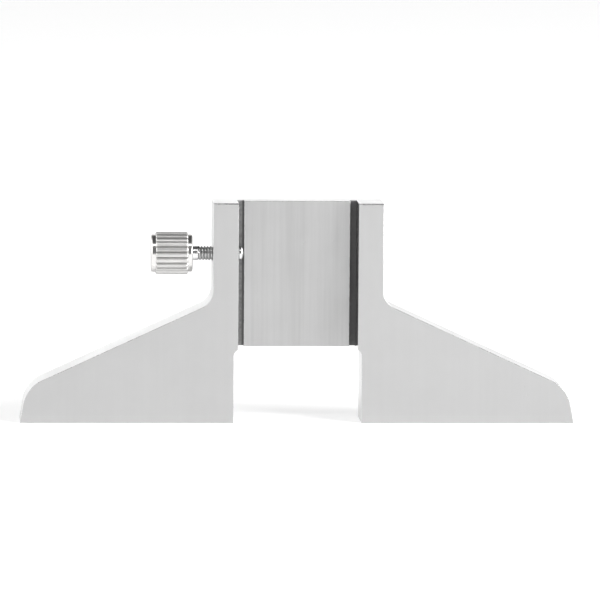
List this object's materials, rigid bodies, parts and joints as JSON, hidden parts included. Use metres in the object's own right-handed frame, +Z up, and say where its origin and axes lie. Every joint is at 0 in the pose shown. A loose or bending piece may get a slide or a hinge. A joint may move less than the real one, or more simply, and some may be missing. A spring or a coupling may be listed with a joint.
{
  "type": "caliper depth base",
  "caption": "T-shaped steel depth base for a 16 mm caliper, with a front-open beam slot, a window under it and a knurled side clamp screw.",
  "frame": {"origin": "middle of the measuring face, halfway through the thickness of the base", "axes": "+X along the base, away from the clamp screw; +Y from the open front of the beam slot to the back; +Z up from the measuring face"},
  "size_m": [0.075, 0.007, 0.0298],
  "materials": {
    "ground_steel": "fine satin grind, upright grind lines on the slot floor, lapped measuring faces",
    "thread_steel": "cut thread, dark between bright crests",
    "knurled_nickel": "nickel plate over a straight knurl, worn bright on the ridges",
    "polished_steel": "polished dome"
  },
  "bodies": {
    "base": {"depth_base": "ground_steel"},
    "tip": {"thrust_tip": "polished_steel"},
    "clamp_screw": {"clamp_stud": "thread_steel", "clamp_knob": "knurled_nickel"}
  },
  "joints": [
    {"name": "tip_travel", "type": "slide", "parent": "base", "child": "tip", "axis": [1, 0, 0], "range_m": [-0.0012, 0.0016]},
    {"name": "clamp_turn", "type": "hinge", "parent": "tip", "child": "clamp_screw", "pos_m": [-0.012, -0.0006, 0.02278], "axis": [1, 0, 0], "range_deg": [-1080, 1440]}
  ],
  "couplings": [
    {"joint": "clamp_turn", "follows": "tip_travel", "rad_per_m": 15708}
  ]
}
